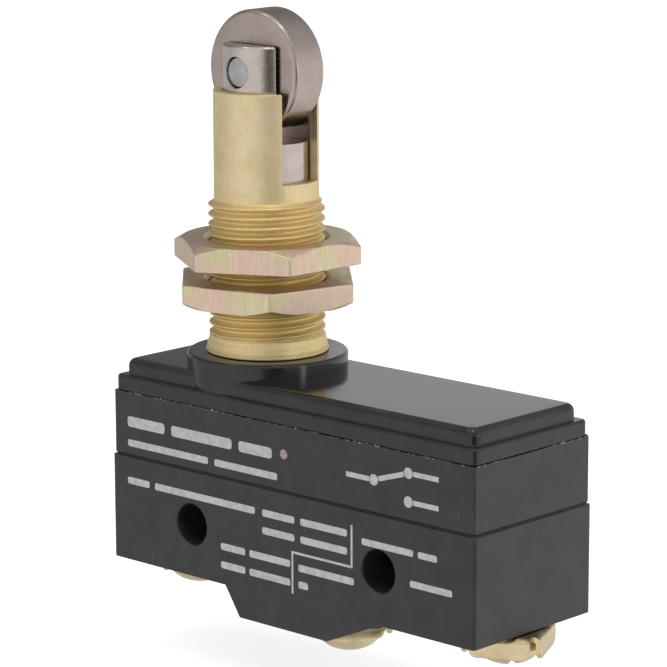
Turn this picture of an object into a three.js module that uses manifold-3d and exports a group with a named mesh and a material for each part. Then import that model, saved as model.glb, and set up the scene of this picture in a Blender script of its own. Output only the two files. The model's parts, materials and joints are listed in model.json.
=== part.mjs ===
// Panel-mount roller-plunger limit switch: a snap-action switch in a moulded case, with a slotted
// M12 bushing, two panel nuts and a roller that is carried in the fork of a sprung plunger.
// Millimetres, +Z along the plunger, +X along the case. The origin is on the rear side face,
// midway between the two mounting holes.
import * as THREE from "three";
import { mergeVertices } from "three/addons/utils/BufferGeometryUtils.js";
import Module from "manifold-3d";

const wasm = await Module();
wasm.setup();

// ---------------------------------------------------------------- driving dimensions
// Places are given from the case's lower left front corner.
const CASE_LENGTH = 49.0;
const CASE_WIDTH = 17.4;
const MID_Y = CASE_WIDTH / 2;
const STEP_Z = 10.9; // the case is slightly narrower above this height
const STEP_INSET = 0.2;
const PARTING_Z = 17.6; // the cover sits here
const CORNER_RADIUS = 0.5;
const WALL = 1.6;
const CAVITY_FLOOR_Z = 8.5;

// The boss under the middle terminal, in side view.
const LOWER_BOSS = { x0: 16.2, x1: 37.0, footX0: 18.2, footX1: 30.1, depth: 3.0 };

const HOLE_RADIUS = 2.1;
const HOLE_SPACING = 25.4;
const HOLE_X = [11.5, 11.5 + HOLE_SPACING];
const HOLE_Z = 5.4;

const RIM_TOP_Z = 19.3;
const RIM_INSET = 0.3;
const PLATEAU_TOP_Z = 20.9;
const PLATEAU_INSET = 0.95;
const BOSS_RADIUS = 8.15;
const BOSS_TOP_Z = 22.5;
const BOSS_CHAMFER = 0.4;
const LIP_THICKNESS = 1.0;

const AXIS_X = 13.95; // the plunger's axis
const THREAD_CREST = 5.88; // M12 x 1
const THREAD_ROOT = 5.3;
const THREAD_PITCH = 1.0;
const THREAD_START_Z = 24.3;
const THREAD_TURNS = 14;
const THREAD_END_Z = THREAD_START_Z + THREAD_TURNS * THREAD_PITCH;
const SHOULDER_RADIUS = 6.1;
const TUBE_RADIUS = 5.27;
const TUBE_TOP_Z = 48.95;
const TUBE_CHAMFER = 0.2;
const BORE_RADIUS = 4.38;
const BUSHING_BASE_Z = 18.25;
const RECESS_RADIUS = 4.6; // under the inner shoulder
const SEAT_Z = 27.0; // the return spring stands on this inner shoulder
const SEAT_THICKNESS = 1.6;
const ROLLER_SLOT_WIDTH = 5.0;
const ROLLER_SLOT_Z = 39.9;

const NUT_ACROSS_FLATS = 17;
const NUT_BORE = 5.95;
const NUT_SINK = 0.45; // countersink at both mouths
const LOWER_NUT = { z0: 27.6, z1: 30.0, turn: 15, chamferUp: false };
const UPPER_NUT = { z0: 31.6, z1: 34.1, turn: 28, chamferUp: true };

const PLUNGER_RADIUS = 4.3;
const PLUNGER_TOP_Z = 53.55;
const FORK_WIDTH = 4.6;
const FORK_FLOOR_Z = 43.85;
const STEM_RADIUS = 2.5;
const STEM_TOP_Z = 37.45;
const STEM_BASE_Z = 24.3;
const STEM_PLAY = 0.1;
const ROLLER_RADIUS = 6.05;
const ROLLER_WIDTH = 4.2;
const ROLLER_Z = 50.9;
const ROLLER_PLAY = 0.15; // the roller stands this much nearer the rear ear
const PIN_RADIUS = 1.5;
const PIN_HALF_LENGTH = 3.85;

const BLADE_Z = 12.68;
const BLADE_THICKNESS = 0.3;
const BLADE_WIDTH = 6.0;
const ANCHOR_X = 9.5; // the blade is riveted, and turns, here
const CONTACT_X = 41.5;
const CONTACT_RADIUS = 1.6;

const PLATE_THICKNESS = 1.2;
const SCREW_SHANK_RADIUS = 1.9;
const WASHER_HALF_SIDE = 3.95;

// Each terminal: the plate's ends, its rear edge, its lower face, its screw and how far round the
// washer and the screw's slot have been left.
const TERMINALS = {
  com: { x0: 0.8, x1: 8.4, y1: 13.4, z: 0, screwX: 3.9, washerTurn: 48, slotTurn: 20 },
  no: { x0: 20.8, x1: 29.6, y1: 13.4, z: -3, screwX: 25.1, washerTurn: 52, slotTurn: 65 },
  nc: { x0: 40.8, x1: 48.25, y1: 14.4, z: 0, screwX: 45.9, washerTurn: 26, slotTurn: -35 },
};
const PLATE_Y0 = 4.0;

// ---------------------------------------------------------------- solid helpers
// A closed geometry as a manifold solid.
function solid(geometry) {
  const bare = geometry.index ? geometry.toNonIndexed() : geometry.clone();
  bare.deleteAttribute("normal");
  bare.deleteAttribute("uv");
  const merged = mergeVertices(bare, 1e-4);
  return new wasm.Manifold(
    new wasm.Mesh({
      numProp: 3,
      vertProperties: new Float32Array(merged.attributes.position.array),
      triVerts: new Uint32Array(merged.index.array),
    }),
  );
}

const join = (...solids) => solids.reduce((all, one) => all.add(one));
const cut = (body, ...tools) => tools.reduce((left, tool) => left.subtract(tool), body);

// A manifold solid as a geometry with flat faces.
function geometryOf(made) {
  const mesh = made.getMesh();
  const geometry = new THREE.BufferGeometry();
  geometry.setAttribute("position", new THREE.BufferAttribute(mesh.vertProperties, 3));
  geometry.setIndex(new THREE.BufferAttribute(mesh.triVerts, 1));
  const flat = geometry.toNonIndexed();
  flat.computeVertexNormals();
  return flat;
}

function box(x0, x1, y0, y1, z0, z1) {
  const block = new THREE.BoxGeometry(x1 - x0, y1 - y0, z1 - z0);
  return solid(block.translate((x0 + x1) / 2, (y0 + y1) / 2, (z0 + z1) / 2));
}

// A solid of revolution about a vertical axis. The profile is a closed list of [radius, z],
// clockwise when the radius runs to the right and z upwards, so that its faces point out.
function turned(profile, { x = 0, y = 0, segments = 32 } = {}) {
  const points = profile.map(([radius, z]) => new THREE.Vector2(radius, z));
  points.push(points[0].clone());
  const lathe = new THREE.LatheGeometry(points, segments).rotateX(Math.PI / 2);
  return solid(lathe.translate(x, y, 0));
}

// A turned piece with a bore right through, or solid when the bore is 0.
function collar(outer, bore, z0, z1, options) {
  return turned([[bore, z0], [outer, z0], [outer, z1], [bore, z1]], options);
}

function cylinderY(radius, y0, y1, x, z, segments = 32) {
  const rod = new THREE.CylinderGeometry(radius, radius, y1 - y0, segments);
  return solid(rod.translate(x, (y0 + y1) / 2, z));
}

// An outline in plan, raised from z0 to z1.
function raised(shape, z0, z1, curveSegments = 4) {
  const options = { depth: z1 - z0, bevelEnabled: false, curveSegments };
  return solid(new THREE.ExtrudeGeometry(shape, options).translate(0, 0, z0));
}

// An outline in side view, as [x, z] points, carried from y0 to y1.
function slab(points, y0, y1) {
  const shape = new THREE.Shape(points.map(([x, z]) => new THREE.Vector2(x, z)));
  const options = { depth: y1 - y0, bevelEnabled: false };
  const block = new THREE.ExtrudeGeometry(shape, options).rotateX(Math.PI / 2);
  return solid(block.translate(0, y1, 0));
}

function roundedRectangle(inset, radius) {
  const x0 = inset;
  const x1 = CASE_LENGTH - inset;
  const y0 = inset;
  const y1 = CASE_WIDTH - inset;
  const shape = new THREE.Shape();
  shape.moveTo(x0 + radius, y0);
  shape.lineTo(x1 - radius, y0);
  shape.absarc(x1 - radius, y0 + radius, radius, -Math.PI / 2, 0, false);
  shape.absarc(x1 - radius, y1 - radius, radius, 0, Math.PI / 2, false);
  shape.absarc(x0 + radius, y1 - radius, radius, Math.PI / 2, Math.PI, false);
  shape.absarc(x0 + radius, y0 + radius, radius, Math.PI, Math.PI * 1.5, false);
  return shape;
}

// A regular hexagon with a corner at the given turn in degrees.
function hexagon(acrossFlats, turn) {
  const radius = acrossFlats / Math.sqrt(3);
  const corners = [];
  for (let i = 0; i < 6; i++) {
    const angle = THREE.MathUtils.degToRad(turn + 60 * i);
    corners.push(new THREE.Vector2(radius * Math.cos(angle), radius * Math.sin(angle)));
  }
  return new THREE.Shape(corners);
}

class Helix extends THREE.Curve {
  constructor(radius, z0, z1, turns) {
    super();
    Object.assign(this, { radius, z0, z1, turns });
  }
  getPoint(t, target = new THREE.Vector3()) {
    const angle = 2 * Math.PI * this.turns * t;
    const z = this.z0 + (this.z1 - this.z0) * t;
    return target.set(this.radius * Math.cos(angle), this.radius * Math.sin(angle), z);
  }
}

// ---------------------------------------------------------------- finishes
const finish = (color, roughness, metalness) =>
  new THREE.MeshStandardMaterial({ color, roughness, metalness });
const FINISH = {
  phenolic: () => finish(0x2b2b2c, 0.5, 0),
  cover: () => finish(0x1c1a1a, 0.25, 0),
  brass: () => finish(0xcdb27c, 0.32, 1),
  zinc: () => finish(0xc2ab8c, 0.38, 1),
  nickel: () => finish(0x9b9388, 0.35, 1),
  steel: () => finish(0xb4b3ae, 0.4, 1),
  spring: () => finish(0x8d8f92, 0.35, 1),
  copper: () => finish(0xb9855a, 0.35, 1),
  silver: () => finish(0xd9d9d4, 0.3, 1),
  insulator: () => finish(0x6a3a22, 0.6, 0),
};

const part = new THREE.Group();
part.position.set(-(HOLE_X[0] + HOLE_X[1]) / 2, -CASE_WIDTH, -HOLE_Z);

function place(name, made, material, group = part) {
  const mesh = new THREE.Mesh(geometryOf(made), material);
  mesh.name = name;
  group.add(mesh);
}

// Everything on the plunger's axis is drawn about the z axis of this group.
const plungerLine = new THREE.Group();
plungerLine.position.set(AXIS_X, MID_Y, 0);
part.add(plungerLine);

// ---------------------------------------------------------------- housing
const POST = {
  com: { x0: 7.0, x1: 8.2, y0: 6.7, y1: 10.7 },
  no: { x0: 28.2, x1: 29.4, y0: 6.9, y1: 10.5 },
  nc: { x0: 41.0, x1: 42.2, y0: 12.6, y1: 14.4 },
};
const FIT = 0.05; // clearance round a piece that is set in the moulding
const WELL_RADIUS = SCREW_SHANK_RADIUS + 0.35; // for the screw's end, above the plate
const WELL_DEPTH = 6.0;

function caseSolid() {
  const lower = raised(roundedRectangle(0, CORNER_RADIUS), 0, STEP_Z);
  const upper = raised(roundedRectangle(STEP_INSET, CORNER_RADIUS), STEP_Z - 1, PARTING_Z);
  const { x0, x1, footX0, footX1, depth } = LOWER_BOSS;
  const lowerBoss = slab(
    [[x0, 0], [x0, WALL], [x1, WALL], [x1, 0], [footX1, -depth], [footX0, -depth]],
    0,
    CASE_WIDTH,
  );
  const cavity = box(
    WALL, CASE_LENGTH - WALL, WALL, CASE_WIDTH - WALL, CAVITY_FLOOR_Z, PARTING_Z + 1,
  );
  let body = cut(join(lower, upper, lowerBoss), cavity);
  for (const x of HOLE_X) {
    body = cut(body, cylinderY(HOLE_RADIUS, -1, CASE_WIDTH + 1, x, HOLE_Z));
  }
  for (const [key, t] of Object.entries(TERMINALS)) {
    const post = POST[key];
    const top = t.z + PLATE_THICKNESS + FIT;
    body = cut(
      body,
      box(t.x0 - FIT, t.x1 + FIT, PLATE_Y0 - FIT, t.y1 + FIT, t.z - 1, top),
      box(post.x0 - FIT, post.x1 + FIT, post.y0 - FIT, post.y1 + FIT, t.z, CAVITY_FLOOR_Z + 1),
      collar(WELL_RADIUS, 0, t.z, t.z + WELL_DEPTH, { x: t.screwX, y: MID_Y, segments: 24 }),
    );
  }
  return body;
}

// The cover: a stepped lid with the round boss, a lip that enters the case, and a hub inside.
const HUB_RADIUS = 6.95;
const HUB_BASE_Z = 16.6;
const FLANGE_RADIUS = 6.4;
const FLANGE_TOP_Z = 19.55;
const NECK_RADIUS = 5.6;
const BUTTON_RADIUS = 1.5;

function coverSolid() {
  const onAxis = { x: AXIS_X, y: MID_Y, segments: 48 };
  const rootZ = RIM_TOP_Z - 0.5;
  const rim = raised(roundedRectangle(RIM_INSET, CORNER_RADIUS), PARTING_Z + 0.02, RIM_TOP_Z);
  const plateau = raised(roundedRectangle(PLATEAU_INSET, CORNER_RADIUS), rootZ, PLATEAU_TOP_Z);
  const boss = turned(
    [[0, rootZ], [BOSS_RADIUS, rootZ], [BOSS_RADIUS, BOSS_TOP_Z - BOSS_CHAMFER],
      [BOSS_RADIUS - BOSS_CHAMFER, BOSS_TOP_Z], [0, BOSS_TOP_Z]],
    onAxis,
  );
  const inset = WALL + 2 * FIT;
  const lip = box(inset, CASE_LENGTH - inset, inset, CASE_WIDTH - inset, HUB_BASE_Z, rootZ);
  const far = inset + LIP_THICKNESS;
  const hollow = cut(
    box(far, CASE_LENGTH - far, far, CASE_WIDTH - far, HUB_BASE_Z - 1, RIM_TOP_Z),
    collar(HUB_RADIUS, 0, HUB_BASE_Z - 2, RIM_TOP_Z + 1, onAxis),
  );
  return cut(
    join(rim, plateau, boss, lip),
    hollow,
    collar(FLANGE_RADIUS + FIT, 0, HUB_BASE_Z - 1, FLANGE_TOP_Z + FIT, onAxis),
    collar(NECK_RADIUS + FIT, 0, HUB_BASE_Z, BOSS_TOP_Z + 1, onAxis),
  );
}

place("case", caseSolid(), FINISH.phenolic());
place("cover", coverSolid(), FINISH.cover());
place(
  "button_guide",
  collar(FLANGE_RADIUS, BUTTON_RADIUS + FIT, HUB_BASE_Z, BUSHING_BASE_Z - FIT),
  FINISH.insulator(),
  plungerLine,
);

// ---------------------------------------------------------------- bushing and nuts
function bushingSolid() {
  const hole = STEM_RADIUS + STEM_PLAY;
  const underSeatZ = SEAT_Z - SEAT_THICKNESS;
  const outline = [[BORE_RADIUS, SEAT_Z], [hole, SEAT_Z], [hole, underSeatZ]];
  outline.push([RECESS_RADIUS, underSeatZ], [RECESS_RADIUS, BUSHING_BASE_Z]);
  outline.push([FLANGE_RADIUS, BUSHING_BASE_Z]);
  outline.push([FLANGE_RADIUS, FLANGE_TOP_Z], [NECK_RADIUS, FLANGE_TOP_Z], [NECK_RADIUS, BOSS_TOP_Z + FIT]);
  outline.push([SHOULDER_RADIUS, BOSS_TOP_Z + FIT], [SHOULDER_RADIUS, THREAD_START_Z]);
  for (let turn = 0; turn < THREAD_TURNS; turn++) {
    const z = THREAD_START_Z + turn * THREAD_PITCH;
    outline.push([THREAD_ROOT, z + 0.02], [THREAD_CREST, z + THREAD_PITCH / 2]);
  }
  outline.push([TUBE_RADIUS, THREAD_END_Z], [TUBE_RADIUS, TUBE_TOP_Z - TUBE_CHAMFER]);
  outline.push([TUBE_RADIUS - TUBE_CHAMFER, TUBE_TOP_Z], [BORE_RADIUS, TUBE_TOP_Z]);
  const half = ROLLER_SLOT_WIDTH / 2;
  const reach = SHOULDER_RADIUS + 1;
  return cut(turned(outline), box(-reach, reach, -half, half, ROLLER_SLOT_Z, TUBE_TOP_Z + 1));
}

function nutSolid({ z0, z1, turn, chamferUp }) {
  const blank = raised(hexagon(NUT_ACROSS_FLATS, turn), z0, z1);
  const flat = NUT_ACROSS_FLATS / 2;
  const wide = NUT_ACROSS_FLATS / Math.sqrt(3) + 0.5;
  const drop = (wide - flat) * Math.tan(Math.PI / 6);
  const barrel = chamferUp
    ? [[0, z0 - 1], [wide, z0 - 1], [wide, z1 - drop], [flat, z1], [0, z1]]
    : [[0, z0], [flat, z0], [wide, z0 + drop], [wide, z1 + 1], [0, z1 + 1]];
  const rounded = blank.intersect(turned(barrel, { segments: 36 }));
  const past = 0.1;
  const mouth = NUT_BORE + NUT_SINK + past;
  const bore = turned(
    [[0, z0 - past], [mouth, z0 - past], [NUT_BORE, z0 + NUT_SINK],
      [NUT_BORE, z1 - NUT_SINK], [mouth, z1 + past], [0, z1 + past]],
  );
  return cut(rounded, bore);
}

place("bushing", bushingSolid(), FINISH.brass(), plungerLine);
place("lower_nut", nutSolid(LOWER_NUT), FINISH.zinc(), plungerLine);
place("upper_nut", nutSolid(UPPER_NUT), FINISH.zinc(), plungerLine);

// ---------------------------------------------------------------- plunger, roller and springs
const SPRING_BORE = 1.9;
const SPRING_BORE_TOP_Z = 38.0;
const MOUTH_RADIUS = 1.25;
const MOUTH_TOP_Z = STEM_BASE_Z + 1;
const RING_Z0 = 24.7;
const RING_Z1 = 25.3;
const RING_RADIUS = 4.0;
const RING_HALF_MOUTH = 1.6;
const GROOVE_RADIUS = 2.1;
const PLUNGER_CHAMFER = 0.3;
const PIN_PLAY = 0.06;

function plungerSolid() {
  const grooveZ0 = RING_Z0 - FIT;
  const grooveZ1 = RING_Z1 + FIT;
  const outline = [[MOUTH_RADIUS, STEM_BASE_Z], [STEM_RADIUS, STEM_BASE_Z], [STEM_RADIUS, grooveZ0]];
  outline.push([GROOVE_RADIUS, grooveZ0], [GROOVE_RADIUS, grooveZ1], [STEM_RADIUS, grooveZ1]);
  outline.push([STEM_RADIUS, STEM_TOP_Z], [PLUNGER_RADIUS, STEM_TOP_Z]);
  outline.push([PLUNGER_RADIUS, PLUNGER_TOP_Z - PLUNGER_CHAMFER]);
  outline.push([PLUNGER_RADIUS - PLUNGER_CHAMFER, PLUNGER_TOP_Z], [0, PLUNGER_TOP_Z]);
  outline.push([0, SPRING_BORE_TOP_Z], [SPRING_BORE, SPRING_BORE_TOP_Z], [SPRING_BORE, MOUTH_TOP_Z]);
  outline.push([MOUTH_RADIUS, MOUTH_TOP_Z]);
  const half = FORK_WIDTH / 2;
  const reach = PLUNGER_RADIUS + 1;
  return cut(
    turned(outline),
    box(-reach, reach, -half, half, FORK_FLOOR_Z, PLUNGER_TOP_Z + 1),
    cylinderY(PIN_RADIUS + 0.02, -reach, reach, 0, ROLLER_Z, 28),
  );
}

// A disc about the y axis with a bore and two chamfered rims.
function rollerSolid() {
  const half = ROLLER_WIDTH / 2;
  const chamfer = 0.35;
  const bore = PIN_RADIUS + PIN_PLAY;
  const outline = [[bore, -half], [ROLLER_RADIUS - chamfer, -half], [ROLLER_RADIUS, -half + chamfer]];
  outline.push([ROLLER_RADIUS, half - chamfer], [ROLLER_RADIUS - chamfer, half], [bore, half]);
  const disc = turned(outline, { segments: 56 });
  return disc.rotate([90, 0, 0]).translate([0, ROLLER_PLAY, ROLLER_Z]);
}

// A coil of round wire between two heights: its mean radius, its wire's radius and its turns.
function coilSolid({ mean, wire, turns }, z0, z1) {
  const path = new Helix(mean, z0 + wire, z1 - wire, turns);
  const section = new THREE.Shape();
  section.absarc(0, 0, wire, 0, 2 * Math.PI, false);
  const options = { steps: turns * 9, extrudePath: path, curveSegments: 3 };
  return solid(new THREE.ExtrudeGeometry(section, options));
}

// An open retaining ring in the groove of the stem.
function ringSolid() {
  const whole = collar(RING_RADIUS, GROOVE_RADIUS + FIT, RING_Z0, RING_Z1);
  const mouth = box(0, RING_RADIUS + 1, -RING_HALF_MOUTH, RING_HALF_MOUTH, RING_Z0 - 1, RING_Z1 + 1);
  return cut(whole, mouth);
}

const PUSH_PIN_BASE_Z = 19.9;
const PUSH_PIN_HEAD_Z = 25.4;
const PUSH_PIN_TOP_Z = 26.5;
const PUSH_PIN_RADIUS = MOUTH_RADIUS - FIT;
const PUSH_PIN_HEAD_RADIUS = SPRING_BORE - FIT;
const pushPin = turned(
  [[0, PUSH_PIN_BASE_Z], [PUSH_PIN_RADIUS, PUSH_PIN_BASE_Z], [PUSH_PIN_RADIUS, PUSH_PIN_HEAD_Z],
    [PUSH_PIN_HEAD_RADIUS, PUSH_PIN_HEAD_Z], [PUSH_PIN_HEAD_RADIUS, PUSH_PIN_TOP_Z],
    [0, PUSH_PIN_TOP_Z]],
  { segments: 24 },
);

// The button has a blunt tip over the blade and a flat cap that keeps it in its guide.
const BUTTON_TIP_Z = BLADE_Z + BLADE_THICKNESS + 0.44;
const BUTTON_TIP_RADIUS = 0.8;
const BUTTON_CAP_RADIUS = 2.3;
const BUTTON_CAP_Z = 18.9;
const BUTTON_TOP_Z = PUSH_PIN_BASE_Z - FIT;
const innerButton = turned(
  [[0, BUTTON_TIP_Z], [BUTTON_TIP_RADIUS, BUTTON_TIP_Z],
    [BUTTON_RADIUS, BUTTON_TIP_Z + BUTTON_RADIUS - BUTTON_TIP_RADIUS],
    [BUTTON_RADIUS, BUTTON_CAP_Z], [BUTTON_CAP_RADIUS, BUTTON_CAP_Z],
    [BUTTON_CAP_RADIUS, BUTTON_TOP_Z - 0.2], [BUTTON_CAP_RADIUS - 0.2, BUTTON_TOP_Z],
    [0, BUTTON_TOP_Z]],
  { segments: 20 },
);

place("plunger", plungerSolid(), FINISH.nickel(), plungerLine);
place("roller", rollerSolid(), FINISH.nickel(), plungerLine);
place(
  "roller_pin",
  cylinderY(PIN_RADIUS, -PIN_HALF_LENGTH, PIN_HALF_LENGTH, 0, ROLLER_Z, 28),
  FINISH.steel(),
  plungerLine,
);
place("retaining_ring", ringSolid(), FINISH.spring(), plungerLine);
const RETURN_SPRING = { mean: 3.45, wire: 0.35, turns: 6 };
const OVERTRAVEL_SPRING = { mean: 1.45, wire: 0.22, turns: 8 };
place(
  "return_spring",
  coilSolid(RETURN_SPRING, SEAT_Z + FIT, STEM_TOP_Z - FIT),
  FINISH.spring(),
  plungerLine,
);
place(
  "overtravel_spring",
  coilSolid(OVERTRAVEL_SPRING, PUSH_PIN_TOP_Z + FIT, SPRING_BORE_TOP_Z - FIT),
  FINISH.spring(),
  plungerLine,
);
place("push_pin", pushPin, FINISH.steel(), plungerLine);
place("inner_button", innerButton, FINISH.insulator(), plungerLine);

// ---------------------------------------------------------------- terminals
const SHELF_Z = 12.6;
const NO_ARM_Z = 8.7;
const NC_ARM_Z = 15.2;
const ARM_THICKNESS = 1.0;
const ARM_END = 2.0; // each fixed arm ends this far past its contact
const SHELF_END_X = 11.5;
const RIVET_RADIUS = 0.9; // of the rivet that holds the blade
const CONTACT_SHANK = 0.7;

function terminalPlate(t) {
  const plate = box(t.x0, t.x1, PLATE_Y0, t.y1, t.z, t.z + PLATE_THICKNESS);
  const onScrew = { x: t.screwX, y: MID_Y, segments: 24 };
  const hole = collar(SCREW_SHANK_RADIUS + 0.1, 0, t.z - 1, t.z + PLATE_THICKNESS + 1, onScrew);
  return cut(plate, hole);
}

function terminalPost(t, post, top) {
  return box(post.x0, post.x1, post.y0, post.y1, t.z + PLATE_THICKNESS / 2, top);
}

// A small hole through a strip, near the height z.
function rivetHole(x, z, radius) {
  return collar(radius, 0, z - 2, z + 2, { x, y: MID_Y, segments: 16 });
}

const comTerminal = cut(
  join(
    terminalPlate(TERMINALS.com),
    terminalPost(TERMINALS.com, POST.com, SHELF_Z),
    box(POST.com.x0, SHELF_END_X, POST.com.y0, POST.com.y1, SHELF_Z - ARM_THICKNESS, SHELF_Z),
  ),
  rivetHole(ANCHOR_X, SHELF_Z, RIVET_RADIUS + FIT),
);
const noTerminal = cut(
  join(
    terminalPlate(TERMINALS.no),
    terminalPost(TERMINALS.no, POST.no, NO_ARM_Z + ARM_THICKNESS),
    box(
      POST.no.x0, CONTACT_X + ARM_END, POST.no.y0, POST.no.y1, NO_ARM_Z, NO_ARM_Z + ARM_THICKNESS,
    ),
  ),
  rivetHole(CONTACT_X, NO_ARM_Z, CONTACT_SHANK + FIT),
);
const ncTerminal = cut(
  join(
    terminalPlate(TERMINALS.nc),
    terminalPost(TERMINALS.nc, POST.nc, NC_ARM_Z + ARM_THICKNESS),
    box(
      CONTACT_X - ARM_END, CONTACT_X + ARM_END, MID_Y - ARM_END, POST.nc.y1,
      NC_ARM_Z, NC_ARM_Z + ARM_THICKNESS,
    ),
  ),
  rivetHole(CONTACT_X, NC_ARM_Z, CONTACT_SHANK + FIT),
);

place("com_terminal", comTerminal, FINISH.brass());
place("no_terminal", noTerminal, FINISH.brass());
place("nc_terminal", ncTerminal, FINISH.brass());

// ---------------------------------------------------------------- snap-action mechanism
const TONGUE_HALF_WIDTH = 1.1;
const TONGUE_TIP_X = 19.76;
const TONGUE_ROOT_X = 36.3;
const TONGUE_RISE = 1.7;

// The bracket that braces the blade's tongue: a strap along the floor and an upright with a notch.
const STRAP_Z = 9.4;
const STRAP_X = POST.com.x1 + FIT;
const UPRIGHT_X = TONGUE_TIP_X - 0.06;
const UPRIGHT_TOP_Z = 13.6;
const NOTCH_Z = 12.75;
const NOTCH_HALF = 0.35;
const bladeAnchor = slab(
  [[STRAP_X, STRAP_Z], [UPRIGHT_X, STRAP_Z], [UPRIGHT_X, NOTCH_Z - NOTCH_HALF],
    [UPRIGHT_X - 0.3, NOTCH_Z], [UPRIGHT_X, NOTCH_Z + NOTCH_HALF], [UPRIGHT_X, UPRIGHT_TOP_Z],
    [UPRIGHT_X - ARM_THICKNESS, UPRIGHT_TOP_Z], [UPRIGHT_X - ARM_THICKNESS, STRAP_Z + ARM_THICKNESS],
    [STRAP_X, STRAP_Z + ARM_THICKNESS]],
  MID_Y - TONGUE_HALF_WIDTH,
  MID_Y + TONGUE_HALF_WIDTH,
);

// One strip: a root, two tension legs, a contact end and a bowed tongue between the legs.
function bladeSolid() {
  const z1 = BLADE_Z + BLADE_THICKNESS;
  const half = BLADE_WIDTH / 2;
  const end = 1.8; // past the rivet and past the contact
  const leg = 1.3;
  const window0 = TONGUE_TIP_X - 3.26;
  const window1 = TONGUE_ROOT_X - BLADE_THICKNESS;
  const strip = box(ANCHOR_X - end, CONTACT_X + end, MID_Y - half, MID_Y + half, BLADE_Z, z1);
  const gap = half - leg;
  const window = box(window0, window1, MID_Y - gap, MID_Y + gap, BLADE_Z - 1, z1 + 1);
  const steps = 14;
  const lowerSide = [];
  const upperSide = [];
  for (let i = 0; i <= steps; i++) {
    const x = TONGUE_TIP_X + ((TONGUE_ROOT_X - TONGUE_TIP_X) * i) / steps;
    const z = BLADE_Z + TONGUE_RISE * Math.sin((Math.PI * i) / steps);
    lowerSide.push([x, z]);
    upperSide.unshift([x, z + BLADE_THICKNESS]);
  }
  const tongue = slab(
    [...lowerSide, ...upperSide],
    MID_Y - TONGUE_HALF_WIDTH,
    MID_Y + TONGUE_HALF_WIDTH,
  );
  return cut(
    join(cut(strip, window), tongue),
    rivetHole(ANCHOR_X, BLADE_Z, RIVET_RADIUS + 2 * FIT),
    rivetHole(CONTACT_X, BLADE_Z, CONTACT_SHANK + 2 * FIT),
  );
}

// The rivet's lower head is under the shelf and its upper head over the blade.
const RIVET_HEAD = { lower: 1.2, upper: 1.6, height: 0.6 };
const shelfBase = SHELF_Z - ARM_THICKNESS - FIT;
const overBlade = BLADE_Z + BLADE_THICKNESS + 0.07;
const anchorRivet = turned(
  [[0, shelfBase - RIVET_HEAD.height], [RIVET_HEAD.lower, shelfBase - RIVET_HEAD.height],
    [RIVET_HEAD.lower, shelfBase], [RIVET_RADIUS, shelfBase], [RIVET_RADIUS, overBlade],
    [RIVET_HEAD.upper, overBlade], [RIVET_HEAD.upper - 0.3, overBlade + RIVET_HEAD.height],
    [0, overBlade + RIVET_HEAD.height]],
  { x: ANCHOR_X, y: MID_Y, segments: 16 },
);

// A contact button: its face at z0, its shank on the far side of a shoulder at z1.
function contactSolid(faceZ, shoulderZ, shankZ) {
  const edge = faceZ + Math.sign(shoulderZ - faceZ) * 0.2;
  const outline = [[0, faceZ], [CONTACT_RADIUS - 0.3, faceZ], [CONTACT_RADIUS, edge]];
  outline.push([CONTACT_RADIUS, shoulderZ], [CONTACT_SHANK, shoulderZ]);
  outline.push([CONTACT_SHANK, shankZ], [0, shankZ]);
  if (shankZ < faceZ) outline.reverse();
  return turned(outline, { x: CONTACT_X, y: MID_Y, segments: 16 });
}

const BLADE_TOP_Z = BLADE_Z + BLADE_THICKNESS;
const NC_FACE_Z = 14.1;
const NO_FACE_Z = 10.9;
const CONTACT_GAP = 0.55; // to the open contact
const movingContact = join(
  contactSolid(NC_FACE_Z - FIT, BLADE_TOP_Z + FIT, BLADE_Z),
  contactSolid(NO_FACE_Z + CONTACT_GAP, BLADE_Z - FIT, BLADE_TOP_Z),
);

place("blade_anchor", bladeAnchor, FINISH.brass());
place("anchor_rivet", anchorRivet, FINISH.steel());
place("snap_blade", bladeSolid(), FINISH.copper());
place("moving_contact", movingContact, FINISH.silver());
const noContact = contactSolid(NO_FACE_Z, NO_ARM_Z + ARM_THICKNESS + FIT, NO_ARM_Z);
const ncContact = contactSolid(NC_FACE_Z, NC_ARM_Z - FIT, NC_ARM_Z + ARM_THICKNESS);
place("no_contact", noContact, FINISH.silver());
place("nc_contact", ncContact, FINISH.silver());

// ---------------------------------------------------------------- terminal screws and washers
const WASHER_THICKNESS = 0.5;
const LIP_DROP = 2.25;
const HEAD_RADIUS = 3.3;
const HEAD_TOP = 0.6; // the head starts this far below the terminal plate
const HEAD_SIDE = 1.0;
const HEAD_DOME = 2.1;
const SHANK_END = 5.2;
const SHANK_CHAMFER = 0.4;
const DRIVER_SLOT = { width: 1.0, depth: 1.3 };

// A square cup washer: a plate with a lip turned down on each side and the corners left open.
function washerSolid() {
  const side = WASHER_HALF_SIDE;
  const inner = side - WASHER_THICKNESS;
  const corner = 0.9; // what each open corner takes off a lip's end
  const end = side - corner;
  const cant = 0.6;
  let body = box(-end, end, -end, end, -WASHER_THICKNESS, 0);
  const lip = slab(
    [[end, 0], [end, cant - LIP_DROP], [end - cant, -LIP_DROP],
      [cant - end, -LIP_DROP], [-end, cant - LIP_DROP], [-end, 0]],
    -side,
    -inner,
  );
  const shelf = box(-end, end, -side, 0.1 - end, -WASHER_THICKNESS, 0);
  for (let quarter = 0; quarter < 4; quarter++) {
    body = join(body, join(lip, shelf).rotate([0, 0, 90 * quarter]));
  }
  return cut(body, collar(SCREW_SHANK_RADIUS + 0.15, 0, -LIP_DROP, 1, { segments: 24 }));
}

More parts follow.
